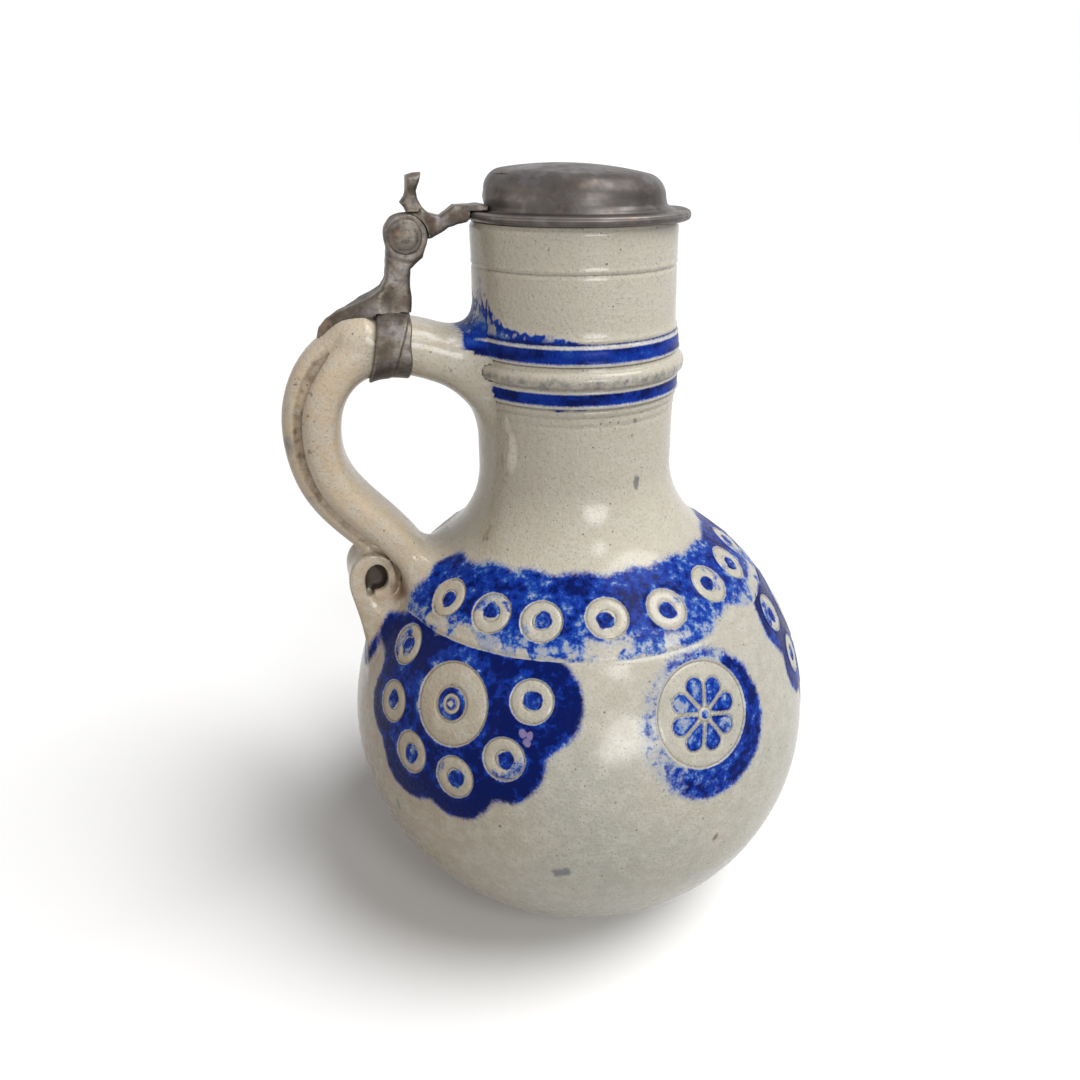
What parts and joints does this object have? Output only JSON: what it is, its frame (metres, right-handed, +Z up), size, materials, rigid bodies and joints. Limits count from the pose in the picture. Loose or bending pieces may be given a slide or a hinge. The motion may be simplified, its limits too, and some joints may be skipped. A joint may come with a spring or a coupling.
{
  "type": "stoneware jug",
  "caption": "Salt-glazed stoneware jug with a straight neck, a round belly, a pulled handle with a rolled end, and a hinged pewter lid with a thumbpiece.",
  "frame": {"origin": "centre of the flat base, on the surface the jug stands on", "axes": "+Z up along the jug's axis, -X towards the handle, the lid's hinge axis runs along Y"},
  "size_m": [0.1778, 0.1652, 0.2577],
  "materials": {
    "stoneware": "grey-beige salt glaze with cobalt blue decoration, glossy with a fine pitted texture",
    "lid_pewter": "old dark grey-brown pewter, smooth and dull",
    "mount_pewter": "old cast pewter, rough, with brown patina"
  },
  "bodies": {
    "jug": {"jug_body": "stoneware", "jug_handle": "stoneware", "handle_strap": "mount_pewter", "hinge_bracket": "mount_pewter", "hinge_pin": "mount_pewter", "pin_cap_near": "mount_pewter", "pin_cap_far": "mount_pewter"},
    "lid_assembly": {"lid": "lid_pewter", "lid_tang": "mount_pewter", "thumbpiece": "mount_pewter"}
  },
  "joints": [
    {"name": "lid_hinge", "type": "hinge", "parent": "jug", "child": "lid_assembly", "pos_m": [-0.0533, 0, 0.2384], "axis": [0, -1, 0], "range_deg": [0, 118]}
  ]
}
